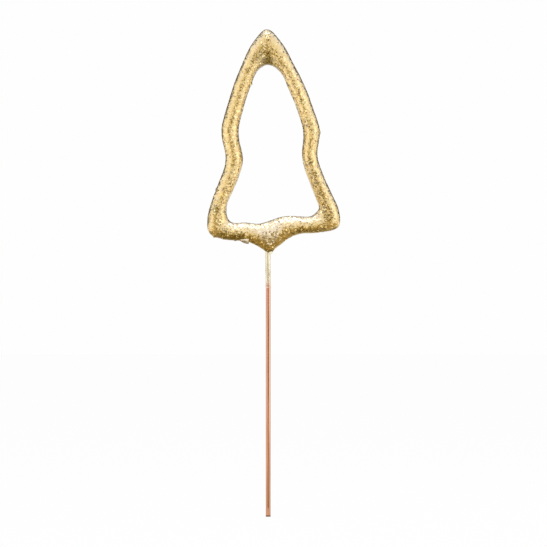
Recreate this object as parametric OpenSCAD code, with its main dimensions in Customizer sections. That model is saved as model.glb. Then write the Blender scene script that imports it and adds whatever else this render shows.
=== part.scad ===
// Sparkler in the outline of a fir tree: a bent wire, dipped in spark composition and coated in glitter.
// Millimetres. The origin is the lower tip of the stem and Z is up. The figure lies in the XZ plane and
// its front faces -Y.

/* [Stem] */
// Diameter of the wire
wire_d = 1.6; // [1.2:0.1:1.8]
// Height of the top of the stem, just below the neck
stem_h = 85; // [40:1:140]
// Length of the stretch at the top of the stem that the lacquer film covers
film_h = 10; // [2:0.5:30]
// Thickness of the lacquer film
film_t = 0.05; // [0.03:0.01:0.1]
// Length of the film that runs up inside the neck
film_run_in = 1; // [0.6:0.1:2]
// Lean of the wire to the left, from the film's lower edge into the neck, in degrees
neck_lean = 0.7; // [0.6:0.1:1.5]

/* [Figure] */
// Height of the wire's left base run above the top of the stem
left_base_rise = 8.4; // [7.5:0.1:10]
// Height of the wire's right base run above the top of the stem
right_base_rise = 10.8; // [9:0.1:12]
// Distance of the left foot from the stem, at the wire's corner
left_foot_x = 18.8; // [16:0.1:22]
// Distance of the right foot from the stem, at the wire's corner
right_foot_x = 22.2; // [18:0.1:24]
// Distance of the left waist from the stem
left_waist_x = 11; // [9.5:0.1:13]
// Distance of the right waist from the stem
right_waist_x = 13.3; // [11:0.1:15]
// Height of the left waist above the top of the stem
waist_rise = 31.5; // [29:0.5:34]
// Extra height of the right waist
right_waist_lift = 1.5; // [0:0.5:2.5]
// Distance of the left shoulder from the stem
left_shoulder_x = 12.9; // [11:0.1:15]
// Distance of the right shoulder from the stem
right_shoulder_x = 14.7; // [12:0.1:17]
// Height of both shoulders above the top of the stem
shoulder_rise = 41.4; // [39:0.5:44]
// Distance of the left brow, the bow halfway up the upper leg, from the stem
left_brow_x = 8.8; // [7.5:0.1:10]
// Distance of the right brow from the stem
right_brow_x = 9.3; // [8:0.1:10.5]
// Height of both brows above the top of the stem
brow_rise = 55.9; // [54:0.5:58]
// Height of the wire's apex corner above the top of the stem
apex_rise = 74.6; // [73:0.1:78]
// Distance of the apex to the left of the stem
apex_x = 0.5; // [0:0.1:1.5]

/* [Wire bends] */
// Bend radius at the apex
apex_bend = 2.1; // [1.6:0.1:2.6]
// Bend radius at the two feet
foot_bend = 2.8; // [2:0.1:3.2]
// Bend radius at the neck, for the stem and for the wire's tail
neck_bend = 2; // [1.4:0.1:2.2]
// Bend radius at waists and shoulders
waist_bend = 8; // [5:0.5:10]
// Bend radius at the brows
brow_bend = 20; // [12:1:30]
// Distance of the tail from the stem's line, where both lie in the neck
tail_x = 1.8; // [1.8:0.1:2.2]
// Length of the tail below the corner where it turns down
tail_h = 6.2; // [4:0.1:6.5]

/* [Sheath] */
// Reach of the gold outside, from the wire's middle outward, on the legs
reach_out = 2.9; // [2.4:0.05:3.2]
// Reach of the gold outside, from the wire's middle inward, on the legs
reach_in = 2.8; // [2.3:0.05:3.1]
// Half the depth of the figure from front to back
half_depth = 2.9; // [2.3:0.05:3.4]
// Drop of the sheath's fullest line below the wire's middle, as a share of the section's reach outward
sag = 0.35; // [0:0.05:0.4]
// Reach inward across the web that fills the corner below the apex
apex_web = 8.9; // [7:0.1:10]
// Reach inward across the webs in the corners of the feet
foot_web = 5.4; // [4.5:0.1:6]
// Reach inward beside those corners, where a web runs out into a leg or the base
web_side = 3.8; // [3.2:0.1:4]
// Reach inward to either side of the apex's web
apex_web_side = 5; // [4.2:0.1:5.6]
// Reach outward on the flanks of the neck, where the mix has run down towards the stem
neck_flank = 5.4; // [4.6:0.1:6]
// Height of the neck's tip above the top of the stem
neck_tip_rise = 1.8; // [1.4:0.1:2.5]
// Reach inward at the neck, from midway between the two base runs
neck_reach_in = 2.4; // [2:0.1:3]
// Thickness of the glitter coat over the composition
coat_t = 0.3; // [0.2:0.05:0.5]

/* [Neck drop] */
// Radius of the drop of lacquer at the neck's tip
drop_r = 0.75; // [0.5:0.05:0.9]
// Distance of the drop's middle to the right of the stem's line
drop_x = 0.7; // [0.4:0.1:0.9]
// Distance of the drop's middle in front of the stem's line
drop_y = 0.9; // [0.6:0.1:1.2]
// Distance of the drop's middle below the neck's tip
drop_below = 0.1; // [-0.2:0.05:0.3]

/* [Hidden] */
wire_r = wire_d / 2;
bare_h = stem_h - film_h;
film_r = wire_r + film_t;
// Extra radius of each bend, so that a bend closes over the ends of the straight runs beside it
bend_swell = 0.004;
// Extra radius of the ball that closes the two runs at the knee
knee_swell = 0.01;
// Angle by which each bend laps the ends of its runs
lap = 0.4;
// Sides of a section through the sheath
section_sides = 16;
// Rings of the sheath between one station and the next
rings_per_span = 4;
// Roundness of the round primitives
round_fn = 48;

base_z = stem_h + left_base_rise;
tail_z = stem_h + right_base_rise;
waist_z = stem_h + waist_rise;
shoulder_z = stem_h + shoulder_rise;
brow_z = stem_h + brow_rise;

// Corners of the wire's line in the XZ plane, from the stem's tip round the tree to the end of the tail
corners = [
    [0, 0],
    [0, bare_h],
    [-(film_h + left_base_rise) * tan(neck_lean), base_z],
    [-left_foot_x, base_z],
    [-left_waist_x, waist_z],
    [-left_shoulder_x, shoulder_z],
    [-left_brow_x, brow_z],
    [-apex_x, stem_h + apex_rise],
    [right_brow_x, brow_z],
    [right_shoulder_x, shoulder_z],
    [right_waist_x, waist_z + right_waist_lift],
    [right_foot_x, tail_z],
    [tail_x, tail_z],
    [tail_x, tail_z - tail_h]
];

// Radius of the bend at each of those corners, with 0 at the two ends and at the slight knee in the stem
bends = [
    0, 0, neck_bend, foot_bend, waist_bend, waist_bend, brow_bend, apex_bend,
    brow_bend, waist_bend, waist_bend, foot_bend, neck_bend, 0
];

last = len(corners) - 1;

function unit(v) = v / norm(v);
function between(a, b, f) = a + (b - a) * f;
// A vector in the XZ plane, turned by an angle, anticlockwise in a view from the front
function turned(v, a) = [v[0] * cos(a) - v[1] * sin(a), v[0] * sin(a) + v[1] * cos(a)];

// Direction of the straight run that leaves a corner
function run(k) = unit(corners[k + 1] - corners[k]);
// Half the angle inside a corner, and the length that its bend takes off each run
function half_angle(k) = acos(-run(k - 1) * run(k)) / 2;
function setback(k) = bends[k] / tan(half_angle(k));
function bend_start(k) = bends[k] == 0 ? corners[k] : corners[k] - run(k - 1) * setback(k);
function bend_end(k) = bends[k] == 0 ? corners[k] : corners[k] + run(k) * setback(k);
// Direction from a corner to the middle of its bend, and that middle
function inward(k) = unit(run(k) - run(k - 1));
function bend_centre(k) = corners[k] + inward(k) * bends[k] / sin(half_angle(k));
function bend_middle(k) = bend_centre(k) - inward(k) * bends[k];

// A place on the wire: a whole number is the middle of that corner's bend, the rest lie on the run after it
function on_wire(t) =
    let (k = floor(t))
    t == k ? bend_middle(k) : between(bend_end(k), bend_start(k + 1), t - k);
function along(t) = t == floor(t) ? unit(run(t - 1) + run(t)) : run(floor(t));

// The sheath hangs on the wire. At each station a section of it stands square to the wire, or turned by
// the fourth value so that the sections fan round a corner without crossing. The section reaches outward
// to one closed rail and inward to another, which fills the acute corners with webs and draws the neck
// to a tip.
// Stations clockwise from the neck: place on the wire, reach outward, reach inward, turn of the section
stations = [
    [2.03, neck_flank, reach_in, 0],
    [2.42, reach_out, reach_in + 0.1, 0],
    [2.85, reach_out - 0.1, web_side - 0.4, -20],
    [3, reach_out - 0.1, foot_web - 0.2, 0],
    [3.06, reach_out - 0.1, web_side, 26],
    [3.3, reach_out + 0.1, reach_in - 0.4, 0],
    [3.6, reach_out - 0.05, reach_in - 0.2, 0],
    [4, reach_out - 0.2, reach_in + 0.2, 0],
    [5, reach_out - 0.1, reach_in + 0.2, 0],
    [5.6, reach_out - 0.1, reach_in - 0.2, 0],
    [6, reach_out - 0.2, reach_in, 0],
    [6.45, reach_out, reach_in + 0.4, 0],
    [6.75, reach_out + 0.2, apex_web_side + 0.3, -30],
    [7, reach_out + 0.1, apex_web, 0],
    [7.3, reach_out + 0.1, apex_web_side - 0.3, 27],
    [7.6, reach_out - 0.2, reach_in - 0.1, 0],
    [8, reach_out - 0.2, reach_in - 0.1, 0],
    [8.5, reach_out - 0.2, reach_in - 0.3, 0],
    [9, reach_out - 0.3, reach_in + 0.2, 0],
    [10, reach_out - 0.35, reach_in - 0.2, 0],
    [10.4, reach_out - 0.6, reach_in + 0.2, 0],
    [10.7, reach_out - 0.3, reach_in + 0.1, 0],
    [10.94, reach_out + 0.1, web_side + 0.1, -24],
    [11, reach_out + 0.6, foot_web + 0.1, 0],
    [11.2, reach_out, web_side - 0.7, 20],
    [11.6, reach_out + 0.4, reach_in, 0],
    [11.9, neck_flank + 0.1, reach_in, 0]
];

// The middle of the neck's own section, on the stem's line and midway between the two base runs
neck_core = [0, (base_z + tail_z) / 2];

// Outer and inner edge of the gold outside at each station
function edge(s, reach) = on_wire(s[0]) + turned(along(s[0]), 90 + s[3]) * reach;
outer_rail = [[0, stem_h + neck_tip_rise], for (s = stations) edge(s, s[1])];
inner_rail = [neck_core + [0, neck_reach_in], for (s = stations) edge(s, -s[2])];
middles = [neck_core, for (s = stations) on_wire(s[0])];
count = len(middles);

// Fullest point at each station. The mix sagged before it dried, so this lies below the wire's middle where
// the section stands upright, and hardly at all where it lies level
cores = [
    for (i = [0 : count - 1])
        let (v = outer_rail[i] - middles[i], upright = unit(v)[1])
        middles[i] - [0, sag * norm(v) * upright * upright]
];

// A closed curve through a list of points, by cubic spans whose slopes allow for uneven spacing
function at(list, i) = list[(i + len(list)) % len(list)];
function gap(p, i) = norm(at(p, i + 1) - at(p, i));
function slope(p, i) =
    let (
        before = gap(p, i - 1),
        after = gap(p, i),
        step_in = at(p, i) - at(p, i - 1),
        step_out = at(p, i + 1) - at(p, i)
    )
    (step_out * before / after + step_in * after / before) / (before + after);
function span(p, i, f) =
    let (d = gap(p, i))
    at(p, i) * (1 + 2 * f) * (1 - f) * (1 - f)
    + slope(p, i) * d * f * (1 - f) * (1 - f)
    + at(p, i + 1) * f * f * (3 - 2 * f)
    - slope(p, i + 1) * d * f * f * (1 - f);

// One ring of the sheath, a given depth below the gold outside: two half ellipses that meet at the
// fullest point
function ring(outer, inner, core, below) =
    let (
        e = unit(outer - inner),
        middle = inner + e * ((core - inner) * e),
        out = norm(outer - middle) - below,
        in = norm(middle - inner) - below
    )
    [
        for (j = [0 : section_sides - 1])
            let (
                a = 360 * j / section_sides,
                p = middle + e * (cos(a) > 0 ? out : in) * cos(a)
            )
            [p[0], (half_depth - below) * sin(a), p[1]]
    ];

function rings(below) = [
    for (i = [0 : count - 1], k = [0 : rings_per_span - 1])
        let (f = k / rings_per_span)
        ring(span(outer_rail, i, f), span(inner_rail, i, f), span(cores, i, f), below)
];

// The closed tube through all the rings, a given depth below the gold outside
module sheath(below) {
    all = rings(below);
    n = len(all);
    points = [for (r = all) each r];
    faces = [
        for (i = [0 : n - 1], j = [0 : section_sides - 1])
            let (
                a = i * section_sides + j,
                b = i * section_sides + (j + 1) % section_sides,
                c = ((i + 1) % n) * section_sides + (j + 1) % section_sides,
                d = ((i + 1) % n) * section_sides + j
            )
            each [[a, b, c], [a, c, d]]
    ];
    polyhedron(points = points, faces = faces, convexity = 6);
}

// A straight round run between two points of the XZ plane
module straight(a, b, r) {
    v = b - a;
    translate([a[0], 0, a[1]])
        rotate([0, atan2(v[0], v[1]), 0])
            cylinder(r = r, h = norm(v), $fn = round_fn);
}

// The round bend at a corner, swept from the run before it to the run after it
module bend(k, r) {
    centre = bend_centre(k);
    sweep = 180 - 2 * half_angle(k);
    middle = -inward(k);
    translate([centre[0], 0, centre[1]])
        rotate([90, 0, 0])
            rotate([0, 0, atan2(middle[1], middle[0]) - sweep / 2 - lap])
                rotate_extrude(angle = sweep + 2 * lap, $fn = 4 * round_fn)
                    translate([bends[k], 0])
                        circle(r = r + bend_swell, $fn = round_fn);
}

// The ball that closes the knee, where the bare, straight stem ends and the wire starts to lean
module knee() {
    translate([corners[1][0], 0, corners[1][1]])
        sphere(r = wire_r + knee_swell, $fn = round_fn);
}

// The whole wire with nothing cut from it
module wire_solid() {
    for (k = [0 : last - 1])
        straight(bend_end(k), bend_start(k + 1), wire_r);
    knee();
    for (k = [2 : last - 1])
        bend(k, wire_r);
}

// The outside of the lacquer film, from the bare stem into the neck
module film_solid() {
    straight(corners[1], corners[1] + run(1) * (film_h + neck_tip_rise + film_run_in), film_r);
}

// The copper-plated steel wire: stem, tree and tail in one length
module wire() {
    color([0.72, 0.42, 0.28])
        wire_solid();
}

// The dried spark composition, moulded over the tree of wire
module spark_composition() {
    color([0.42, 0.42, 0.43])
        difference() {
            sheath(coat_t);
            wire_solid();
            film_solid();
        }
}

// The skin of gold lacquer and glitter over the composition
module gold_coat() {
    color([0.86, 0.70, 0.38])
        difference() {
            sheath(0);
            sheath(coat_t);
            wire_solid();
            film_solid();
        }
}

// The thin film of lacquer that runs down the upper stem
module stem_lacquer() {
    color([0.85, 0.74, 0.58])
        difference() {
            film_solid();
            wire_solid();
        }
}

// The drop of lacquer at the neck's tip, in front of the stem and to its right
module neck_drop() {
    color([0.95, 0.88, 0.68])
        difference() {
            translate([drop_x, -drop_y, stem_h + neck_tip_rise - drop_below])
                sphere(r = drop_r, $fn = round_fn);
            film_solid();
            sheath(0);
        }
}

wire();
spark_composition();
gold_coat();
stem_lacquer();
neck_drop();
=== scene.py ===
import math

import bmesh
import bpy
from bpy.props import FloatProperty, FloatVectorProperty, PointerProperty
from bpy.types import Operator, Panel, PropertyGroup
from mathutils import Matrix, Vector, noise
from mathutils.bvhtree import BVHTree


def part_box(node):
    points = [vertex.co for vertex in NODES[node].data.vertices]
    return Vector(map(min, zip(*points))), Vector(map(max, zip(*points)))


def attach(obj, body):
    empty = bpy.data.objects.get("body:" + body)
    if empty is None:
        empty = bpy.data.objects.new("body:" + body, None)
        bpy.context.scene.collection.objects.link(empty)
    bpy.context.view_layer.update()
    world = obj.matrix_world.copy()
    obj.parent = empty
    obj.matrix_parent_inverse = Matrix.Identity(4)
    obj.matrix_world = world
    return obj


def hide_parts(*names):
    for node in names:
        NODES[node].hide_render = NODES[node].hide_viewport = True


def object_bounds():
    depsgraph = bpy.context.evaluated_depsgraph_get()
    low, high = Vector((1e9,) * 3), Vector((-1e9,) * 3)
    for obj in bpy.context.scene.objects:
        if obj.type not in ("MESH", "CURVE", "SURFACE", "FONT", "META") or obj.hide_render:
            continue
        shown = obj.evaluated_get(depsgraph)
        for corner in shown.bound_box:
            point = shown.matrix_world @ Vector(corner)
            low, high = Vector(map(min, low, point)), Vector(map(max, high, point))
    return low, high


bl_info = {
    "name": "Fir Tree Sparkler",
    "version": (1, 0, 0),
    "blender": (4, 5, 0),
    "location": "View3D > Sidebar > Sparkler",
    "description": "Dresses a cake sparkler in the outline of a fir tree in gold glitter and copper",
    "category": "Add Mesh",
}

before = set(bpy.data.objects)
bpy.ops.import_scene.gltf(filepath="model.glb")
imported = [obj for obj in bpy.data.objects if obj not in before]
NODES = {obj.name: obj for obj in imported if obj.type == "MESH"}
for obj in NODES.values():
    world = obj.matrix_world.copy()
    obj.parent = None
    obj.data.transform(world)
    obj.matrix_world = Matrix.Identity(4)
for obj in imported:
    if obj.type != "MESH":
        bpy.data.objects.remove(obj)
CAD_LOW, CAD_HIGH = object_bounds()
MM = 0.001

# The reference picture: its side and the tip of the stem in pixels, and the size of a pixel at the object
PICTURE_SIDE = 547
TIP_PIXEL = (268.2, 516.6)
PIXEL = 0.328 * MM
# The middle of the figure, which the lamps and cards face
FIGURE = (0.0, 0.0, 0.122)

# Small bumps on the coat, and a dent where the height is below 0: place across and up, radius and height,
# all in millimetres
NUBS = (
    (0.8, 90.3, 2.4, 0.22),
    (-4.0, 89.0, 1.6, -0.13),
    (4.2, 89.6, 1.2, 0.2),
    (-9.0, 117.5, 3.0, 0.12),
    (-10.4, 110.0, 2.5, 0.12),
    (15.3, 104.5, 2.0, 0.15),
    (0.1, 87.3, 0.9, 0.45),
    (0.9, 87.5, 0.9, 0.4),
    (-0.5, 159.8, 2.5, 0.22),
    (0.0, 152.3, 1.2, 0.12),
    (0.0, 150.9, 1.2, 0.16),
    (0.0, 149.6, 1.1, 0.16),
    (-7.6, 96.4, 2.6, 0.25),
    (-5.6, 141.9, 0.45, 0.35),
    (17.2, 125.9, 0.7, 0.3),
    (-17.0, 107.4, 0.5, 0.22),
    (-17.5, 105.2, 0.4, 0.2),
    (-16.9, 103.6, 0.45, 0.2),
    (-17.7, 91.9, 0.5, 0.4),
    (-14.7, 91.3, 0.3, 0.25),
    (-10.8, 90.6, 0.5, 0.35),
    (-9.6, 90.4, 0.45, 0.4),
)
# The place across and up, and the radius, of the crease under the tip
CREASE = (0.2 * MM, 152.6 * MM, 3.6 * MM)
# The lip and the root of the scale that a burst bubble left, each by three places in millimetres
SCALE_LIP = ((-9.3, -1.4, 90.5), (-7.9, -2.05, 89.7), (-6.35, -2.75, 89.4))
SCALE_ROOT = ((-9.2, -1.3, 91.3), (-7.8, -1.9, 91.5), (-6.4, -2.45, 91.4))
# Painted shade: places where the grains turn dark, standing in for the dark reflections down the legs and the
# shade under the tip and along the base, at the neck partly the real dark mix; painted light where the
# strength is below 0, which turns the coat pale on the neck
# and the middle of the base: place across and up and radius, in millimetres, and strength
SHADE_AND_LIGHT_SPOTS = (
    (0.2, 158.4, 1.3, 0.25),
    (-2.1, 150.3, 1.7, 0.45),
    (0.3, 150.9, 1.1, 0.45),
    (0.3, 148.9, 1.9, 0.95),
    (10.9, 136.0, 0.9, 0.35),
    (12.2, 131.0, 0.8, 0.3),
    (13.6, 116.2, 1.0, 0.4),
    (14.6, 112.8, 1.0, 0.45),
    (15.6, 109.2, 1.0, 0.45),
    (16.9, 105.6, 1.1, 0.45),
    (18.5, 101.6, 1.2, 0.5),
    (19.6, 98.6, 1.5, 0.5),
    (-17.3, 101.0, 1.3, 0.55),
    (-15.4, 113.4, 1.1, 0.3),
    (-14.6, 92.6, 1.4, 0.5),
    (-11.6, 92.0, 1.4, 0.5),
    (-8.6, 91.9, 1.4, 0.5),
    (10.4, 93.6, 1.2, 0.4),
    (13.9, 93.8, 1.2, 0.4),
    (17.6, 93.9, 1.2, 0.35),
    (-0.4, 87.5, 0.8, 0.95),
    (1.1, 87.8, 0.9, 0.95),
    (0.8, 92.2, 4.0, -0.7),
    (0.6, 89.6, 2.6, -0.4),
)
# Spacing of the coat's soft lumps, and of the finer ones on them
LUMP_SPACING = 3.6 * MM
FINE_LUMP_SPACING = 1.3 * MM
# Least distance kept from the sides of the CAD box
BOX_MARGIN = 0.002 * MM
# Nominal thickness of the lacquer film, and how far its inner side lies inside the wire's surface
FILM_THICKNESS = 0.05 * MM
FILM_TUCK = 0.01 * MM
# Heights between which the copper's cast fades out, and between which it loses its high polish
CAST_HEIGHTS = (20 * MM, 42 * MM)
POLISH_HEIGHTS = (45 * MM, 60 * MM)
# Length of the film's foot in which the copper shows through
SHEER_FOOT = 3.5 * MM
# Share of light that the floor scatters, and its own brightness as seen and as it lights the pieces
FLOOR_COLOUR = 0.07
FLOOR_SEEN = 0.915
FLOOR_GLOW = 0.8
# Brightness of the backdrop as seen
BACKDROP = 0.99
# Width of the camera's sensor, in millimetres
SENSOR_WIDTH = 36.0


# Properties


class CoatSettings(PropertyGroup):
    """The gold lacquer and glitter on the tree"""

    grain: FloatProperty(
        name="Glitter grain", description="Width of one grain of glitter",
        default=0.5 * MM, min=0.1 * MM, unit="LENGTH", precision=5)
    tilt: FloatProperty(
        name="Grain tilt", description="How far the grains lean out of the surface, as a slope",
        default=0.06, min=0.0, max=0.6)
    lump: FloatProperty(
        name="Lump height", description="Height of the soft lumps left by dipping",
        default=0.07 * MM, min=0.0, unit="LENGTH", precision=5)
    build_up: FloatProperty(
        name="Build-up", description="How far the lacquer stands out beyond the frame's coat",
        default=0.03 * MM, min=0.0, max=0.2 * MM, unit="LENGTH", precision=5)
    # Painted shade: the share of grains turned to the bare colour where the coat faces down, standing in for
    # the shade on its underside
    painted_under_shade: FloatProperty(
        name="Thin underside", description="Share of the grains missing where the coat faces down",
        default=0.4, min=0.0, max=1.0)
    # Painted highlight: how far the coat turns to the pearl colour where it faces up, standing in for the top
    # light's highlight
    painted_top_highlight: FloatProperty(
        name="Pale topside", description="How far the coat turns to pearl where it faces up",
        default=0.65, min=0.0, max=1.0)
    voxel: FloatProperty(
        name="Mesh size", description="Spacing of the points of the coat's mesh",
        default=0.14 * MM, min=0.08 * MM, unit="LENGTH", precision=5)
    gold: FloatVectorProperty(
        name="Gold", description="Main colour of the glitter",
        default=(0.87, 0.605, 0.18), size=3, min=0.0, max=1.0, subtype="COLOR")
    champagne: FloatVectorProperty(
        name="Champagne", description="Colour of the palest grains",
        default=(0.92, 0.74, 0.37), size=3, min=0.0, max=1.0, subtype="COLOR")
    # Painted highlight: the pearl colour laid where the coat faces up, on the spots below 0 and on the
    # scale's inner face
    pearl: FloatVectorProperty(
        name="Pearl", description="Colour of the fine pale glitter that settled on the upper side",
        default=(0.93, 0.83, 0.68), size=3, min=0.0, max=1.0, subtype="COLOR")
    shade: FloatVectorProperty(
        name="Shade", description="Colour of the grains that lie deep in the lacquer",
        default=(0.42, 0.25, 0.06), size=3, min=0.0, max=1.0, subtype="COLOR")
    # Painted shade: the bare colour darkens the grains under the tip, down the legs, along the base and on
    # the underside; at the neck it is partly the real dark mix between grains
    bare: FloatVectorProperty(
        name="Bare", description="Colour of the grains where the dark mix shows between them",
        default=(0.22, 0.14, 0.01), size=3, min=0.0, max=1.0, subtype="COLOR")


class WireSettings(PropertyGroup):
    """The copper-plated steel wire"""

    copper: FloatVectorProperty(
        name="Copper", description="Colour of the copper plating",
        default=(0.81, 0.44, 0.31), size=3, min=0.0, max=1.0, subtype="COLOR")
    cut_height: FloatProperty(
        name="Cut end", description="Length of the darkened steel at the cut end",
        default=0.6 * MM, min=0.0, unit="LENGTH", precision=5)


class LacquerSettings(PropertyGroup):
    """The lacquer that ran down the stem"""

    film: FloatVectorProperty(
        name="Film", description="Colour of the lacquer film on the stem",
        default=(1.0, 0.92, 0.72), size=3, min=0.0, max=1.0, subtype="COLOR")
    drop: FloatVectorProperty(
        name="Drop", description="Colour of the drop at the neck",
        default=(1.0, 0.94, 0.68), size=3, min=0.0, max=1.0, subtype="COLOR")
    ripple: FloatProperty(
        name="Ripple", description="Height of the film's ripples",
        default=0.02 * MM, min=0.0, unit="LENGTH", precision=5)
    rim: FloatProperty(
        name="Rim", description="Extra thickness of the film at its lower edge, where it gathered",
        default=0.02 * MM, min=0.0, unit="LENGTH", precision=5)
    drip: FloatProperty(
        name="Drip", description="How unevenly the film's lower edge runs",
        default=0.35 * MM, min=0.0, unit="LENGTH", precision=5)
    tail: FloatProperty(
        name="Bead's tail", description="Length of the bead's tail, where 1 is the bead's radius",
        default=0.9, min=0.0, max=2.0)


class StageSettings(PropertyGroup):
    """Floor, lamps and camera"""

    lens: FloatProperty(
        name="Lens", description="Focal length of the camera",
        default=300.0, min=50.0, unit="CAMERA")
    top_light: FloatProperty(
        name="Top light", description="Brightness of the softbox over the figure, where 1 is white",
        default=2.4, min=0.0)
    left_light: FloatProperty(
        name="Left light", description="Brightness of the softbox on the left, where 1 is white",
        default=0.28, min=0.0)
    right_light: FloatProperty(
        name="Right light", description="Brightness of the softbox on the right, where 1 is white",
        default=0.68, min=0.0)
    ambient: FloatProperty(
        name="Ambient", description="Strength of the even light from all round",
        default=0.95, min=0.0, max=1.0)
    front_card: FloatVectorProperty(
        name="Front card", description="Colour of the dark card behind the camera",
        default=(0.42, 0.31, 0.05), size=3, min=0.0, max=1.0, subtype="COLOR")
    front_fade: FloatVectorProperty(
        name="Front card's edge", description="Colour of that card at its edge",
        default=(0.66, 0.54, 0.3), size=3, min=0.0, max=1.0, subtype="COLOR")
    flag: FloatVectorProperty(
        name="Flags", description="Colour of the two flags behind the figure, outside the view",
        default=(0.15, 0.135, 0.10), size=3, min=0.0, max=1.0, subtype="COLOR")
    back_flag: FloatVectorProperty(
        name="Back flag", description="Colour of the flag behind the figure, which draws its upper edges",
        default=(0.25, 0.22, 0.17), size=3, min=0.0, max=1.0, subtype="COLOR")
    stem_card: FloatVectorProperty(
        name="Stem card", description="Colour of the card that draws the dark line down the stem",
        default=(0.02, 0.01, 0.004), size=3, min=0.0, max=1.0, subtype="COLOR")
    strip: FloatVectorProperty(
        name="Floor strip", description="Colour of the dark strip on the floor in front of the figure",
        default=(0.18, 0.12, 0.012), size=3, min=0.0, max=1.0, subtype="COLOR")
    bounce: FloatProperty(
        name="Bounce", description="Brightness of the white card on the floor at the left, where 1 is white",
        default=1.45, min=0.0)
    low_card: FloatVectorProperty(
        name="Low card", description="Colour of the card below the figure",
        default=(0.29, 0.205, 0.05), size=3, min=0.0, max=1.0, subtype="COLOR")
    low_fade: FloatVectorProperty(
        name="Low card's edge", description="Colour of that card at its edge",
        default=(0.78, 0.66, 0.4), size=3, min=0.0, max=1.0, subtype="COLOR")


# Mesh helpers


def link(name, mesh):
    """A new object in the scene from a mesh, smooth shaded."""
    piece = bpy.data.objects.new(name, mesh)
    bpy.context.scene.collection.objects.link(piece)
    for polygon in mesh.polygons:
        polygon.use_smooth = True
    return piece


def apply_modifiers(piece):
    """Replaces a piece's mesh with the result of its modifiers."""
    graph = bpy.context.evaluated_depsgraph_get()
    graph.update()
    mesh = bpy.data.meshes.new_from_object(piece.evaluated_get(graph))
    piece.modifiers.clear()
    piece.data = mesh


def spread(point, spots):
    """The sum, at a point, of soft spots: places in the XZ plane, radii and heights, in millimetres."""
    total = 0.0
    for x, z, radius, height in spots:
        apart = ((point.x / MM - x) ** 2 + (point.z / MM - z) ** 2) / (radius * radius)
        if apart < 9.0:
            total += math.exp(-apart) * height
    return total


def tube(name, rings, capped=False):
    """A closed piece from rings of points: capped at both ends, or with its last ring joined to its first."""
    around = len(rings[0])
    points = [point for ring in rings for point in ring]
    faces = []
    for i in range(len(rings) - 1 if capped else len(rings)):
        here = i * around
        there = (i + 1) % len(rings) * around
        for j in range(around):
            k = (j + 1) % around
            faces.append((here + j, here + k, there + k, there + j))
    if capped:
        faces.append(tuple(range(around)))
        faces.append(tuple(range(len(points) - around, len(points))))
    mesh = bpy.data.meshes.new(name)
    mesh.from_pydata(points, [], faces)
    return link(name, outward(mesh))


def outward(mesh):
    """The mesh with its normals turned outward."""
    shape = bmesh.new()
    shape.from_mesh(mesh)
    bmesh.ops.recalc_face_normals(shape, faces=shape.faces)
    shape.to_mesh(mesh)
    shape.free()
    return mesh


# Material helpers


def new_material(name):
    """A node material with its output and its shader."""
    material = bpy.data.materials.new(name)
    material.use_nodes = True
    nodes = material.node_tree.nodes
    return material, nodes["Principled BSDF"]


class Graph:
    """Adds and joins nodes in one material or world."""

    def __init__(self, tree):
        self.tree = tree

    def add(self, kind, settings=None, **inputs):
        """A new node, with its own settings and with values or links for its inputs."""
        node = self.tree.nodes.new(kind)
        for key, value in (settings or {}).items():
            setattr(node, key, value)
        for key, value in inputs.items():
            self.join(value, node.inputs[key.replace("_", " ")])
        return node

    def join(self, value, socket):
        """Links a socket to an input, or sets the input to a constant."""
        if isinstance(value, bpy.types.NodeSocket):
            self.tree.links.new(value, socket)
        else:
            socket.default_value = value

    def math(self, operation, a, b=0.0):
        """The result of one operation on two numbers."""
        node = self.tree.nodes.new("ShaderNodeMath")
        node.operation = operation
        self.join(a, node.inputs[0])
        self.join(b, node.inputs[1])
        return node.outputs[0]

    def vector(self, operation, a, b=(0.0, 0.0, 0.0), scale=1.0):
        """The result of one operation on two vectors, or on a vector and a scale."""
        node = self.tree.nodes.new("ShaderNodeVectorMath")
        node.operation = operation
        self.join(a, node.inputs[0])
        if operation == "SCALE":
            self.join(scale, node.inputs["Scale"])
        else:
            self.join(b, node.inputs[1])
        return node.outputs[0]

    def fade(self, value, start, end, low, high):
        """A value that goes smoothly from low to high while another one goes from start to end."""
        node = self.add("ShaderNodeMapRange", {"interpolation_type": "SMOOTHSTEP"}, Value=value,
                        From_Min=start, From_Max=end, To_Min=low, To_Max=high)
        return node.outputs[0]

    def ramp(self, value, stops):
        """A colour by value, through stops that each hold a place from 0 to 1 and a colour."""
        node = self.tree.nodes.new("ShaderNodeValToRGB")
        elements = node.color_ramp.elements
        while len(elements) < len(stops):
            elements.new(0.5)
        for element, (place, colour) in zip(elements, stops):
            element.position = place
            element.color = (*colour, 1.0)
        self.join(value, node.inputs[0])
        return node.outputs[0]

    def mix(self, factor, a, b, blend="MIX"):
        """Two colours blended by a factor. The node's inputs 6 and 7 and its output 2 are the colour ones."""
        node = self.tree.nodes.new("ShaderNodeMix")
        node.data_type = "RGBA"
        node.blend_type = blend
        self.join(factor, node.inputs[0])
        self.join(a if isinstance(a, bpy.types.NodeSocket) else (*a, 1.0), node.inputs[6])
        self.join(b if isinstance(b, bpy.types.NodeSocket) else (*b, 1.0), node.inputs[7])
        return node.outputs[2]


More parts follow.
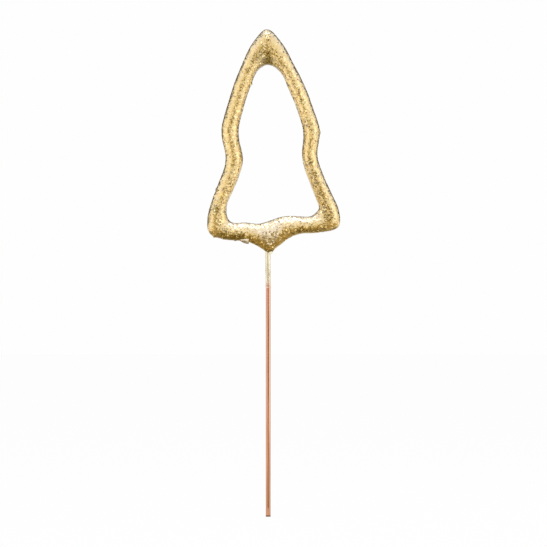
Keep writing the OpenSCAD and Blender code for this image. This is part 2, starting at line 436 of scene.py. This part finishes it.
def grain_material(settings):
    """Gold glitter in lacquer: each grain has its own tilt, tint and polish."""
    material, shader = new_material("gold_glitter")
    graph = Graph(material.node_tree)
    place = graph.add("ShaderNodeTexCoord").outputs["Object"]
    coarse = graph.add("ShaderNodeTexVoronoi", Vector=place, Scale=1.0 / settings.grain)
    fine = graph.add("ShaderNodeTexVoronoi", Vector=place, Scale=1.9 / settings.grain)
    drift = graph.add("ShaderNodeTexNoise", Vector=place, Scale=0.22 / MM, Detail=3.0)

    # Each grain leans its own way, a few of them much further, and all of them more where the coat faces down
    normal = graph.add("ShaderNodeNewGeometry").outputs["Normal"]
    lean = graph.vector("SUBTRACT", coarse.outputs["Color"], (0.5, 0.5, 0.5))
    lean_fine = graph.vector("SUBTRACT", fine.outputs["Color"], (0.5, 0.5, 0.5))
    split = graph.add("ShaderNodeSeparateColor", Color=coarse.outputs["Color"])
    split_fine = graph.add("ShaderNodeSeparateColor", Color=fine.outputs["Color"])
    other = graph.math("FRACT", graph.math("MULTIPLY", split.outputs[2], 41.7))
    rise = graph.add("ShaderNodeSeparateXYZ", Vector=normal).outputs["Z"]
    steep = graph.math("ADD", graph.math("MULTIPLY", graph.math("POWER", other, 6.0), 1.2),
                       graph.fade(rise, -0.7, -0.1, 1.2, 0.3))
    tilted = graph.vector("ADD", graph.vector("SCALE", lean, scale=steep),
                          graph.vector("SCALE", lean_fine, scale=0.2))
    facing = graph.vector("NORMALIZE", graph.vector("ADD", normal, tilted))
    graph.join(facing, shader.inputs["Normal"])

    # Most grains are gold or champagne, some lie deep in the lacquer, and each has a cast of pink and green
    tint = graph.ramp(split.outputs[0], (
        (0.0, settings.shade), (0.05, settings.gold), (0.55, settings.gold), (0.9, settings.champagne)))
    pink = graph.mix(graph.math("MULTIPLY", split_fine.outputs[1], 0.35), tint, (0.95, 0.62, 0.42))
    green = graph.mix(graph.math("MULTIPLY", split_fine.outputs[2], 0.25), pink, (0.74, 0.70, 0.30))
    deep = graph.mix(graph.math("MULTIPLY", drift.outputs["Fac"], 0.1), green, settings.shade)
    # Painted shade: grains turn to the bare colour in the listed spots and where the coat faces down,
    # standing in for shade and dark reflections, partly the real dark mix at the neck. Painted highlight:
    # what faces up, and the spots below 0, turn pale
    painted_spots = graph.add("ShaderNodeAttribute", {"attribute_name": "thin"}).outputs["Fac"]
    thin = graph.math("ADD", painted_spots, graph.fade(rise, -0.8, -0.35, settings.painted_under_shade, 0.0))
    shows = graph.math("LESS_THAN", split.outputs[1], thin)
    shows_fine = graph.math("LESS_THAN", split_fine.outputs[2], graph.math("MULTIPLY", thin, 0.7))
    bare = graph.math("MAXIMUM", graph.math("MULTIPLY", shows, 0.8), graph.math("MULTIPLY", shows_fine, 0.9))
    upper = graph.math("SUBTRACT", rise, graph.math("MINIMUM", painted_spots, 0.0))
    settled = graph.mix(graph.fade(upper, 0.1, 0.6, 0.0, settings.painted_top_highlight), deep, settings.pearl)
    graph.join(graph.mix(bare, settled, settings.bare), shader.inputs["Base Color"])
    polish = graph.math("ADD", graph.math("MULTIPLY", split_fine.outputs[0], 0.16), 0.14)
    graph.join(polish, shader.inputs["Roughness"])
    shader.inputs["Metallic"].default_value = 1.0
    shader.inputs["Coat Weight"].default_value = 1.0
    shader.inputs["Coat Roughness"].default_value = 0.12
    shader.inputs["Coat IOR"].default_value = 1.8
    return material


def composition_material():
    """Dried spark composition: dull grey, gritty, with steel filings in it."""
    material, shader = new_material("spark_mix")
    graph = Graph(material.node_tree)
    place = graph.add("ShaderNodeTexCoord").outputs["Object"]
    grit = graph.add("ShaderNodeTexNoise", Vector=place, Scale=2.2 / MM, Detail=6.0)
    filings = graph.add("ShaderNodeTexVoronoi", Vector=place, Scale=2.6 / MM)
    share = graph.add("ShaderNodeSeparateColor", Color=filings.outputs["Color"]).outputs[0]
    is_filing = graph.math("GREATER_THAN", share, 0.86)
    body = graph.ramp(grit.outputs["Fac"], ((0.3, (0.10, 0.10, 0.11)), (0.7, (0.26, 0.26, 0.27))))
    graph.join(graph.mix(is_filing, body, (0.62, 0.62, 0.64)), shader.inputs["Base Color"])
    graph.join(is_filing, shader.inputs["Metallic"])
    rough = graph.math("SUBTRACT", 0.9, graph.math("MULTIPLY", is_filing, 0.5))
    graph.join(rough, shader.inputs["Roughness"])
    bump = graph.add("ShaderNodeBump", Height=grit.outputs["Fac"], Strength=0.6, Distance=0.1 * MM)
    graph.join(bump.outputs["Normal"], shader.inputs["Normal"])
    return material


def copper_material(settings):
    """Copper plating with draw marks, a warmer cast low down and a darker colour over the last part at the
    cut end.
    """
    material, shader = new_material("copper_wire")
    graph = Graph(material.node_tree)
    place = graph.add("ShaderNodeTexCoord").outputs["Object"]
    height = graph.add("ShaderNodeSeparateXYZ", Vector=place).outputs["Z"]
    along = graph.vector("MULTIPLY", place, (6.0 / MM, 6.0 / MM, 0.12 / MM))
    streak = graph.add("ShaderNodeTexNoise", Vector=along, Scale=1.0, Detail=4.0)
    blotch = graph.add("ShaderNodeTexNoise", Vector=place, Scale=0.09 / MM, Detail=2.0)
    dark = tuple(0.62 * part for part in settings.copper)
    plating = graph.ramp(streak.outputs["Fac"], ((0.3, dark), (0.7, settings.copper)))
    warm = graph.mix(graph.math("MULTIPLY", blotch.outputs["Fac"], 0.3), plating, (0.86, 0.45, 0.24))
    low = graph.fade(height, *CAST_HEIGHTS, 1.0, 0.0)
    cast = graph.mix(low, warm, (0.9, 0.84, 0.74), "MULTIPLY")
    # A darker colour over the last part of the wire, at the cut end
    end = graph.fade(height, 0.4 * settings.cut_height, settings.cut_height, 1.0, 0.0)
    graph.join(graph.mix(end, cast, (0.16, 0.065, 0.05)), shader.inputs["Base Color"])
    dull = graph.fade(height, *POLISH_HEIGHTS, 0.5, 1.0)
    rough = graph.math("ADD", graph.math("MULTIPLY", streak.outputs["Fac"], 0.16), 0.06)
    graph.join(graph.math("MULTIPLY", rough, dull), shader.inputs["Roughness"])
    shader.inputs["Metallic"].default_value = 1.0
    bump = graph.add("ShaderNodeBump", Height=streak.outputs["Fac"], Strength=0.35, Distance=0.02 * MM)
    graph.join(bump.outputs["Normal"], shader.inputs["Normal"])
    return material


def lacquer_material(name, colour, speck, metal, copper):
    """Glossy lacquer with a little fine glitter in it, thin enough at the film's foot to show copper."""
    material, shader = new_material(name)
    graph = Graph(material.node_tree)
    place = graph.add("ShaderNodeTexCoord").outputs["Object"]
    drawn = graph.vector("MULTIPLY", place, (1.6 / MM, 1.6 / MM, 0.35 / MM))
    run = graph.add("ShaderNodeTexNoise", Vector=drawn, Scale=1.0, Detail=3.0)
    dust = graph.add("ShaderNodeTexVoronoi", Vector=place, Scale=4.5 / MM)
    share = graph.add("ShaderNodeSeparateColor", Color=dust.outputs["Color"]).outputs[0]
    thick = tuple(0.88 * part for part in colour)
    body = graph.ramp(run.outputs["Fac"], ((0.35, thick), (0.65, colour)))
    height = graph.add("ShaderNodeSeparateXYZ", Vector=place).outputs["Z"]
    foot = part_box("stem_lacquer")[0][2]
    body = graph.mix(graph.fade(height, foot, foot + SHEER_FOOT, 0.75, 0.0), body, copper)
    bright = graph.math("GREATER_THAN", share, 1.0 - speck)
    graph.join(graph.mix(bright, body, (0.98, 0.90, 0.68)), shader.inputs["Base Color"])
    rough = graph.math("ADD", graph.math("MULTIPLY", run.outputs["Fac"], 0.2), 0.2)
    graph.join(rough, shader.inputs["Roughness"])
    shader.inputs["Metallic"].default_value = metal
    shader.inputs["Coat Weight"].default_value = 0.6
    shader.inputs["Coat Roughness"].default_value = 0.08
    bump = graph.add("ShaderNodeBump", Height=run.outputs["Fac"], Strength=0.3, Distance=0.03 * MM)
    graph.join(bump.outputs["Normal"], shader.inputs["Normal"])
    return material


# Operators


def outer_skin(coat, core):
    """The outside of the coat, closed at the neck: the faces that stand clear of the core's surface."""
    core_tree = BVHTree.FromPolygons(
        [v.co for v in core.data.vertices], [tuple(p.vertices) for p in core.data.polygons])
    clear = 0.15 * MM
    skin = bmesh.new()
    skin.from_mesh(coat.data)
    bmesh.ops.remove_doubles(skin, verts=skin.verts, dist=0.002 * MM)
    inner = [v for v in skin.verts if core_tree.find_nearest(v.co)[3] < clear]
    bmesh.ops.delete(skin, geom=inner, context="VERTS")
    rim = [e for e in skin.edges if e.is_boundary]
    bmesh.ops.holes_fill(skin, edges=rim, sides=0)
    return skin


class SPARKLER_OT_gold_coat(Operator):
    """Dress the tree in its coat of gold lacquer and glitter"""

    bl_idname = "sparkler.gold_coat"
    bl_label = "Gold coat"

    def execute(self, context):
        settings = context.scene.sparkler_coat
        skin = outer_skin(NODES["gold_coat"], NODES["spark_composition"])
        bmesh.ops.join_triangles(
            skin, faces=skin.faces, angle_face_threshold=0.9, angle_shape_threshold=3.1)
        bmesh.ops.recalc_face_normals(skin, faces=skin.faces)
        mesh = bpy.data.meshes.new("glitter_coat")
        skin.to_mesh(mesh)
        skin.free()
        piece = link("glitter_coat", mesh)
        rounding = piece.modifiers.new("rounding", "SUBSURF")
        rounding.levels = 2
        remesh = piece.modifiers.new("even", "REMESH")
        remesh.mode = "VOXEL"
        remesh.voxel_size = settings.voxel
        smooth = piece.modifiers.new("smooth", "SMOOTH")
        smooth.factor = 0.5
        smooth.iterations = 6
        apply_modifiers(piece)
        self.fill_crease(piece.data)
        self.relieve(piece.data, settings)
        for polygon in piece.data.polygons:
            polygon.use_smooth = True
        piece.data.materials.clear()
        piece.data.materials.append(grain_material(settings))
        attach(piece, "root")
        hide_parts("gold_coat")
        return {"FINISHED"}

    def fill_crease(self, mesh):
        """Softens the crease in which the two legs' coats meet under the tip, where the lacquer filled it."""
        shape = bmesh.new()
        shape.from_mesh(mesh)
        crease = [v for v in shape.verts if math.dist((v.co.x, v.co.z), CREASE[:2]) < CREASE[2]]
        rounds = 60
        for _ in range(rounds):
            bmesh.ops.smooth_vert(
                shape, verts=crease, factor=0.5, use_axis_x=True, use_axis_y=True, use_axis_z=True)
        shape.to_mesh(mesh)
        shape.free()

    def relieve(self, mesh, settings):
        """Raises lumps, nubs and grains of glitter on the smooth skin, and keeps them in the CAD box."""
        grain = settings.grain
        moved = []
        thin = mesh.attributes.new("thin", "FLOAT", "POINT")
        for vertex in mesh.vertices:
            p = vertex.co
            # Painted shade and light from the spots, kept as the thin attribute that the coat's material
            # reads
            thin.data[vertex.index].value = min(max(spread(p, SHADE_AND_LIGHT_SPOTS), -1.0), 1.0)
            lump = noise.noise(p / LUMP_SPACING) * settings.lump
            lump += noise.noise(p / FINE_LUMP_SPACING) * 0.4 * settings.lump
            cell = p / grain
            centre = noise.voronoi(cell)[1][0]
            random = noise.cell_vector(centre)
            random = Vector((random[1], random[2], random[0])) - Vector((0.5, 0.5, 0.5))
            lift = (random.x * 0.1 + random.dot(cell - centre) * 2.0 * settings.tilt) * grain
            nub = spread(p, NUBS) * MM
            moved.append(p + vertex.normal * (settings.build_up + lump + lift + nub))
        for vertex, place in zip(mesh.vertices, moved):
            for axis in range(3):
                low, high = CAD_LOW[axis] + BOX_MARGIN, CAD_HIGH[axis] - BOX_MARGIN
                place[axis] = min(max(place[axis], low), high)
            vertex.co = place
        mesh.update()


class SPARKLER_OT_composition(Operator):
    """Finish the spark composition under the coat"""

    bl_idname = "sparkler.composition"
    bl_label = "Spark composition"

    def execute(self, context):
        node = NODES["spark_composition"]
        node.data.materials.clear()
        node.data.materials.append(composition_material())
        return {"FINISHED"}


class SPARKLER_OT_wire(Operator):
    """Finish the copper-plated wire"""

    bl_idname = "sparkler.wire"
    bl_label = "Wire"

    def execute(self, context):
        node = NODES["wire"]
        node.data.materials.clear()
        node.data.materials.append(copper_material(context.scene.sparkler_wire))
        return {"FINISHED"}


class SPARKLER_OT_film(Operator):
    """Model the film of lacquer that ran down the stem, with ripples and a thicker lower edge"""

    bl_idname = "sparkler.film"
    bl_label = "Lacquer film"

    def execute(self, context):
        settings = context.scene.sparkler_lacquer
        points = [v.co for v in NODES["stem_lacquer"].data.vertices]
        low = min(p.z for p in points)
        high = max(p.z for p in points)
        near = 0.1 * MM
        foot = self.middle([p for p in points if p.z < low + near])
        head = self.middle([p for p in points if p.z > high - near])
        radius = max((p - foot).length for p in points if p.z < low + near)
        outer, inner = [], []
        steps = 150
        for i in range(steps + 1):
            # The rings lie closer at the foot, where the rim is
            share = (i / steps) ** 1.4
            outer.append(self.ring(foot, head, share, radius, settings, False))
            inner.append(self.ring(foot, head, share, radius, settings, True))
        piece = tube("lacquer_film", outer + inner[::-1])
        piece.data.materials.append(lacquer_material(
            "clear_gold_lacquer", settings.film, 0.08, 0.8, context.scene.sparkler_wire.copper))
        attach(piece, "root")
        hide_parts("stem_lacquer")
        return {"FINISHED"}

    def middle(self, points):
        """The mean of some points."""
        return sum(points, Vector()) / len(points)

    def ring(self, foot, head, share, radius, settings, inside):
        """One ring round the stem: the lacquer's skin, or the side that lies on the wire."""
        around = 64
        length = (head - foot).length
        ring = []
        for j in range(around):
            angle = 2 * math.pi * j / around
            side = Vector((math.cos(angle), math.sin(angle), 0.0))
            drip = settings.drip * (noise.noise(side * 1.1 + Vector((3.0, 1.0, 7.0))) + 0.4 * side.x)
            along = share * length + drip * (1.0 - share)
            if inside:
                reach = radius - 2.0 * settings.ripple - FILM_THICKNESS - FILM_TUCK
            else:
                wave = noise.noise(Vector((side.x * 1.5, side.y * 1.5, along / (1.3 * MM)))) * settings.ripple
                rim = settings.rim * math.exp(-((along - drip) / (0.35 * MM) - 1.0) ** 2)
                taper = 1.0 - math.exp(-share * length / (0.12 * MM))
                reach = radius - FILM_THICKNESS + (FILM_THICKNESS + wave + rim) * taper
            ring.append(foot + (head - foot) * (along / length) + side * reach)
        return ring


class SPARKLER_OT_bead(Operator):
    """Model the drop of lacquer at the neck, a bead with a tail that runs onto the stem"""

    bl_idname = "sparkler.bead"
    bl_label = "Neck bead"

    def execute(self, context):
        settings = context.scene.sparkler_lacquer
        low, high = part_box("neck_drop")
        middle = (Vector(low) + Vector(high)) / 2
        radius = (high[0] - low[0]) / 2
        shape = bmesh.new()
        bmesh.ops.create_uvsphere(shape, u_segments=48, v_segments=32, radius=1.0)
        # The tail points down, to the left and back onto the stem
        tail = Vector((-0.55, 0.35, -0.76)).normalized()
        for vertex in shape.verts:
            way = vertex.co.normalized()
            run = max(way.dot(tail), 0.0)
            ripple = 0.05 * noise.noise(way * 2.3)
            slim = way - tail * way.dot(tail)
            place = way * (1.0 + ripple) - slim * 0.45 * run + tail * settings.tail * run ** 3
            vertex.co = middle + place * radius
        mesh = bpy.data.meshes.new("neck_bead")
        shape.to_mesh(mesh)
        shape.free()
        piece = link("neck_bead", mesh)
        piece.data.materials.append(lacquer_material(
            "lacquer_drop", settings.drop, 0.2, 0.0, context.scene.sparkler_wire.copper))
        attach(piece, "root")
        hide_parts("neck_drop")
        return {"FINISHED"}


class SPARKLER_OT_burst(Operator):
    """Model the scale of lacquer that a burst bubble left under the base, on the left"""

    bl_idname = "sparkler.burst"
    bl_label = "Burst scale"

    def execute(self, context):
        settings = context.scene.sparkler_coat
        steps, around = 48, 28
        rings = []
        for i in range(steps + 1):
            share = i / steps
            lip, root = self.edges(share)
            rings.append([self.outline(lip, root, share, 2 * math.pi * j / around) for j in range(around)])
        piece = tube("burst_scale", rings, capped=True)
        # Painted shade and highlight: the lip's grains turn dark, standing in for the shadow under it, and
        # the rest of the scale turns pale, partly painted highlight and partly its lighter inner face
        thin = piece.data.attributes.new("thin", "FLOAT", "POINT")
        for i, point in enumerate(thin.data):
            at_lip = self.reach(2 * math.pi * (i % around) / around) > 0.7
            point.value = 1.0 if at_lip else -0.8
        piece.data.materials.append(bpy.data.objects["glitter_coat"].active_material)
        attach(piece, "root")
        return {"FINISHED"}

    def edges(self, share):
        """The lip and the root of the scale, a share of the way along it, by curves through three places."""
        places = []
        for a, b, c in (SCALE_LIP, SCALE_ROOT):
            a, b, c = (Vector(p) * MM for p in (a, b, c))
            bow = b * 2 - (a + c) / 2
            places.append(a * (1 - share) ** 2 + bow * 2 * share * (1 - share) + c * share ** 2)
        return places

    def reach(self, angle):
        """How far from the root to the lip a point of the section lies, from 0 to 1."""
        return 0.5 - 0.5 * math.cos(angle)

    def outline(self, lip, root, share, angle):
        """A point on the section of the scale: thin at the root, with a rounded, thicker lip."""
        span = lip - root
        across = Vector((0.0, -span.z, span.y)).normalized()
        along = self.reach(angle)
        swell = 0.05 + 0.10 * along ** 4 + 0.02 * noise.noise(Vector((share * 9.0, angle, 2.0)))
        ends = min(1.0, 6.0 * share + 0.25, 8.0 * (1.0 - share) + 0.3)
        dish = 0.10 * math.sin(math.pi * along)
        return root + span * along + across * (swell * ends * math.sin(angle) + dish) * MM


class SPARKLER_OT_stage(Operator):
    """Set up the floor, the world, the lamps and the camera"""

    bl_idname = "sparkler.stage"
    bl_label = "Stage"

    def execute(self, context):
        settings = context.scene.sparkler_stage
        self.floor()
        self.world(context.scene, settings)
        self.lamps(settings)
        self.cards(settings)
        self.camera(context.scene, settings)
        return {"FINISHED"}

    def seen(self, graph):
        """1 for camera, glossy and transmission rays, 0 for the rest."""
        path = graph.add("ShaderNodeLightPath").outputs
        both = graph.math("MAXIMUM", path["Is Camera Ray"], path["Is Glossy Ray"])
        return graph.math("MAXIMUM", both, path["Is Transmission Ray"])

    def floor(self):
        """The pale floor: nearly as bright as the backdrop, but with the figure's shadow on it."""
        mesh = bpy.data.meshes.new("floor")
        reach = 3.0
        corners = [(-reach, -reach, 0), (reach, -reach, 0), (reach, reach, 0), (-reach, reach, 0)]
        mesh.from_pydata(corners, [], [(0, 1, 2, 3)])
        floor = link("floor", mesh)
        material = bpy.data.materials.new("pale_floor")
        material.use_nodes = True
        tree = material.node_tree
        tree.nodes.clear()
        graph = Graph(tree)
        diffuse = graph.add("ShaderNodeBsdfDiffuse", Color=(FLOOR_COLOUR, FLOOR_COLOUR, FLOOR_COLOUR, 1.0))
        level = graph.math("MAXIMUM", graph.math("MULTIPLY", self.seen(graph), FLOOR_SEEN), FLOOR_GLOW)
        glow = graph.add("ShaderNodeEmission", Strength=level)
        both = graph.add("ShaderNodeAddShader")
        graph.join(diffuse.outputs[0], both.inputs[0])
        graph.join(glow.outputs[0], both.inputs[1])
        output = graph.add("ShaderNodeOutputMaterial")
        graph.join(both.outputs[0], output.inputs["Surface"])
        mesh.materials.append(material)

    def world(self, scene, settings):
        """The white backdrop and the even light from all round."""
        world = bpy.data.worlds.new("studio")
        world.use_nodes = True
        scene.world = world
        graph = Graph(world.node_tree)
        background = world.node_tree.nodes["Background"]
        background.inputs["Color"].default_value = (1.0, 1.0, 1.0, 1.0)
        seen = self.seen(graph)
        more = graph.math("MULTIPLY", seen, BACKDROP - settings.ambient)
        level = graph.math("ADD", more, settings.ambient)
        graph.join(level, background.inputs["Strength"])

    def place(self, item, place, aim):
        """Puts a lamp or card at a place and turns its face to another."""
        item.location = place
        item.rotation_euler = (Vector(aim) - Vector(place)).to_track_quat("-Z", "Y").to_euler()

    def softbox(self, name, place, aim, width, height, brightness):
        """An area lamp whose face has a given brightness, where 1 is white."""
        light = bpy.data.lights.new(name, "AREA")
        light.shape = "RECTANGLE"
        light.size = width
        light.size_y = height
        light.energy = brightness * math.pi * width * height
        lamp = bpy.data.objects.new(name, light)
        bpy.context.scene.collection.objects.link(lamp)
        self.place(lamp, place, aim)
        lamp.visible_camera = False

    def lamps(self, settings):
        """A softbox over the figure and one on either side."""
        self.softbox("top_softbox", (0.0, -0.12, 0.75), FIGURE, 0.4, 0.32, settings.top_light)
        self.softbox("left_softbox", (-0.56, -0.32, 0.16), FIGURE, 0.35, 0.5, settings.left_light)
        self.softbox("right_softbox", (0.55, -0.34, 0.16), FIGURE, 0.35, 0.5, settings.right_light)

    def card(self, name, place, aim, width, height, colour, fade=None, turn=0.0, flare=1.0, mottle=0.0):
        """A card that only reflections see, to shape them as a studio's flags do. The flare is its far edge's
        width over its near edge's, and the mottle says how unevenly its colour fades toward the edge."""
        mesh = bpy.data.meshes.new(name)
        w, h = width / 2, height / 2
        mesh.from_pydata(
            [(-w * flare, -h, 0), (w * flare, -h, 0), (w, h, 0), (-w, h, 0)], [], [(0, 1, 2, 3)])
        card = link(name, mesh)
        self.place(card, place, aim)
        card.rotation_euler.rotate_axis("Z", math.radians(turn))
        material = bpy.data.materials.new(name)
        material.use_nodes = True
        material.node_tree.nodes.clear()
        graph = Graph(material.node_tree)
        shade = (*colour, 1.0)
        if fade:
            middle = graph.add("ShaderNodeTexCoord").outputs["Object"]
            scaled = graph.vector("MULTIPLY", middle, (1 / w, 1 / h, 0.0))
            reach = graph.add("ShaderNodeVectorMath", {"operation": "LENGTH"}, Vector=scaled).outputs["Value"]
            cloud = graph.add("ShaderNodeTexNoise", Vector=middle, Scale=95.0, Detail=1.0).outputs["Fac"]
            uneven = graph.math("MULTIPLY", graph.math("SUBTRACT", cloud, 0.5), mottle)
            shade = graph.ramp(graph.math("ADD", reach, uneven), ((0.35, colour), (1.0, fade)))
        glow = graph.add("ShaderNodeEmission", Color=shade)
        graph.add("ShaderNodeOutputMaterial", Surface=glow.outputs[0])
        mesh.materials.append(material)
        card.visible_camera = False
        card.visible_diffuse = False
        card.visible_shadow = False
        card.visible_transmission = False

    def cards(self, settings):
        """The cards that the coat, the film and the stem mirror: in front, on the floor, behind and below."""
        self.card("front_card", (-0.31, -1.45, 0.24), (0.0, 0.0, 0.24), 1.3, 0.33,
                  settings.front_card, settings.front_fade)
        self.card("stem_card", (0.2, -1.45, 0.03), (0.0, 0.0, 0.03), 1.1, 0.09, settings.stem_card)
        self.card("front_strip", (-0.07, -0.72, 0.001), (-0.07, -0.72, 1.0), 0.03, 1.38,
                  settings.strip, turn=6.0, flare=24.0)
        self.card("left_bounce", (-0.42, -0.24, 0.002), (-0.42, -0.24, 1.0), 0.35, 0.35,
                  (settings.bounce,) * 3)
        for side, name in ((-1, "left_flag"), (1, "right_flag")):
            self.card(name, (0.139 * side, 0.144, 0.237), (0.0, 0.0, 0.237), 0.17, 0.3, settings.flag)
        self.card("back_flag", (0.0, 0.3, 0.3), (0.0, 0.0, 0.3), 0.22, 0.3, settings.back_flag)
        self.card("low_card", (-0.004, -0.02, 0.08), (-0.004, -0.02, 1.0), 0.12, 0.11,
                  settings.low_card, settings.low_fade, mottle=2.4)

    def camera(self, scene, settings):
        """A level camera in front, at the distance where the reference picture fills its sensor."""
        data = bpy.data.cameras.new("camera")
        data.lens = settings.lens
        data.sensor_width = SENSOR_WIDTH
        side = PICTURE_SIDE * PIXEL
        camera = bpy.data.objects.new("camera", data)
        scene.collection.objects.link(camera)
        across = (PICTURE_SIDE / 2 - TIP_PIXEL[0]) * PIXEL
        up = (TIP_PIXEL[1] - PICTURE_SIDE / 2) * PIXEL
        distance = side * data.lens / data.sensor_width
        camera.location = (across, -distance, up)
        camera.rotation_euler = (math.pi / 2, 0.0, 0.0)
        data.clip_end = 20.0
        scene.camera = camera
        scene.view_settings.view_transform = "Standard"


class SPARKLER_PT_panel(Panel):
    """Lists the sparkler's pieces in the order in which they are made"""

    bl_label = "Sparkler"
    bl_idname = "SPARKLER_PT_panel"
    bl_space_type = "VIEW_3D"
    bl_region_type = "UI"
    bl_category = "Sparkler"

    def draw(self, context):
        """Draws a button for each step and a box for each group of settings."""
        layout = self.layout
        for operator in OPERATORS:
            layout.operator(operator.bl_idname)
        for name, _ in SETTINGS:
            box = layout.box()
            group = getattr(context.scene, name)
            for key in group.__annotations__:
                box.prop(group, key)


SETTINGS = (
    ("sparkler_coat", CoatSettings),
    ("sparkler_wire", WireSettings),
    ("sparkler_lacquer", LacquerSettings),
    ("sparkler_stage", StageSettings),
)
OPERATORS = (
    SPARKLER_OT_gold_coat,
    SPARKLER_OT_composition,
    SPARKLER_OT_wire,
    SPARKLER_OT_film,
    SPARKLER_OT_bead,
    SPARKLER_OT_burst,
    SPARKLER_OT_stage,
)
CLASSES = tuple(group for _, group in SETTINGS) + OPERATORS + (SPARKLER_PT_panel,)


def register():
    """Registers the classes and hangs each group of settings on the scene."""
    for item in CLASSES:
        bpy.utils.register_class(item)
    for name, group in SETTINGS:
        setattr(bpy.types.Scene, name, PointerProperty(type=group))


def unregister():
    """Takes the settings and the classes out again."""
    for name, _ in SETTINGS:
        delattr(bpy.types.Scene, name)
    for item in reversed(CLASSES):
        bpy.utils.unregister_class(item)


def main():
    """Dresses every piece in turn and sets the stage."""
    register()
    bpy.ops.sparkler.gold_coat()
    bpy.ops.sparkler.composition()
    bpy.ops.sparkler.wire()
    bpy.ops.sparkler.film()
    bpy.ops.sparkler.bead()
    bpy.ops.sparkler.burst()
    bpy.ops.sparkler.stage()


if __name__ == "__main__":
    main()
